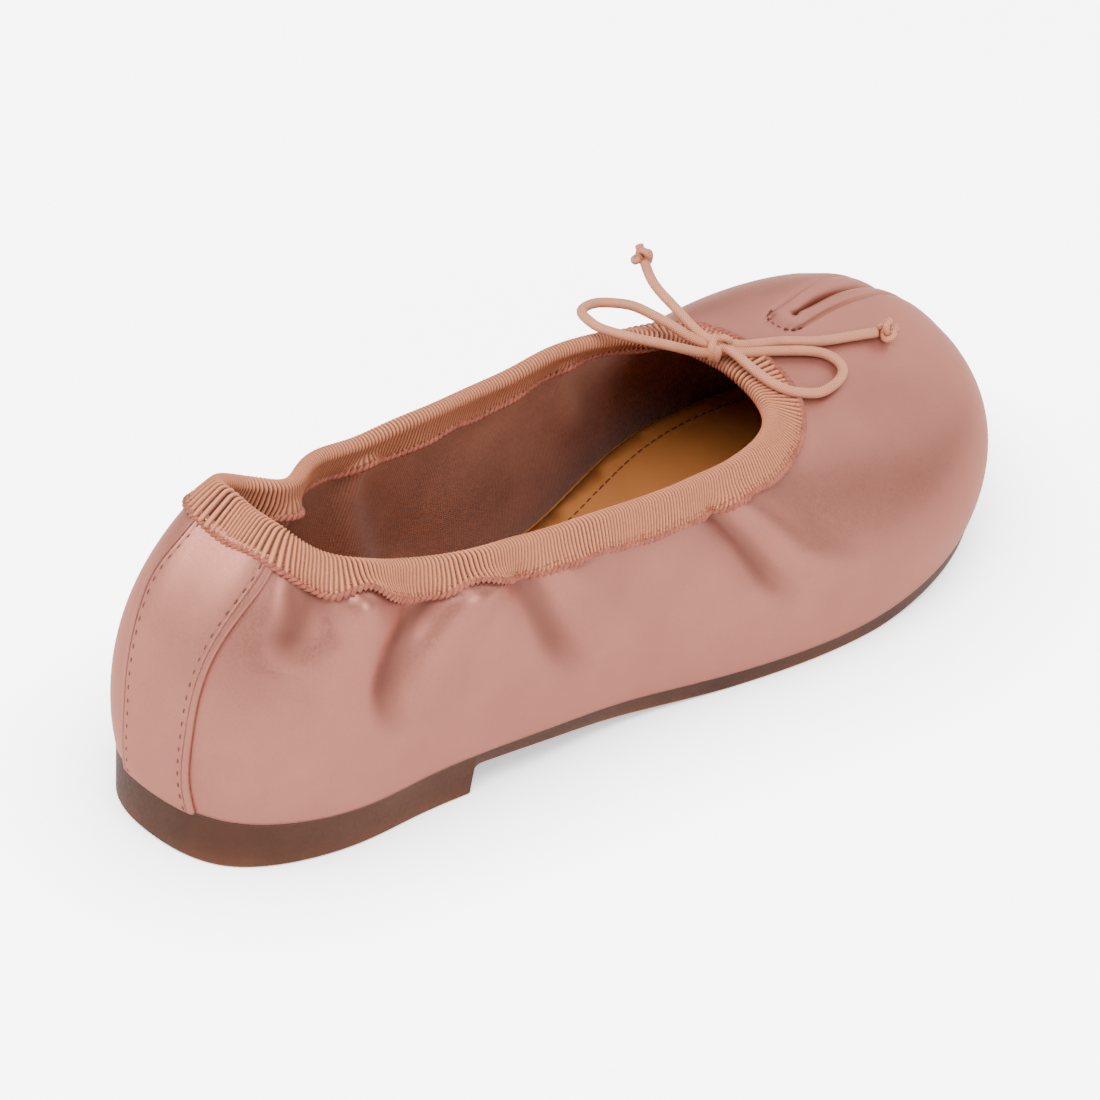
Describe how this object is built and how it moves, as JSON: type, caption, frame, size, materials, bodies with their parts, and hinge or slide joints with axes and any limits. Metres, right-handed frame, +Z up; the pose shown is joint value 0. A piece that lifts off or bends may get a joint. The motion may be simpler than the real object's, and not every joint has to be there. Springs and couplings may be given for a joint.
{
  "type": "split-toe ballet flat",
  "caption": "Low-heeled satin ballet flat with a split toe, ribbed tape round the collar and a thin cord bow, for the right foot.",
  "frame": {"origin": "centre of the shoe's bounding box at floor level, measured without the bow's cords", "axes": "+Z up; the toe points along -Y; +X is the inner (big toe) side"},
  "size_m": [0.0832, 0.2457, 0.0772],
  "materials": {
    "rose_satin": "dusty rose satin with a soft sheen",
    "ribbed_tape": "finely ribbed woven tape",
    "brown_sole": "moulded brown, smooth edge",
    "tan_sock_leather": "smooth tan leather",
    "peach_cord": "round braided cord"
  },
  "bodies": {
    "root": {"outsole": "brown_sole", "upper": "rose_satin", "insole": "tan_sock_leather", "heel_strip": "rose_satin", "collar_binding": "ribbed_tape", "bow_knot": "peach_cord", "bow_loop_inner": "peach_cord", "bow_loop_outer": "peach_cord", "bow_tail_inner": "peach_cord", "bow_tail_outer": "peach_cord", "tail_knot_inner": "peach_cord", "tail_knot_outer": "peach_cord"}
  },
  "joints": []
}
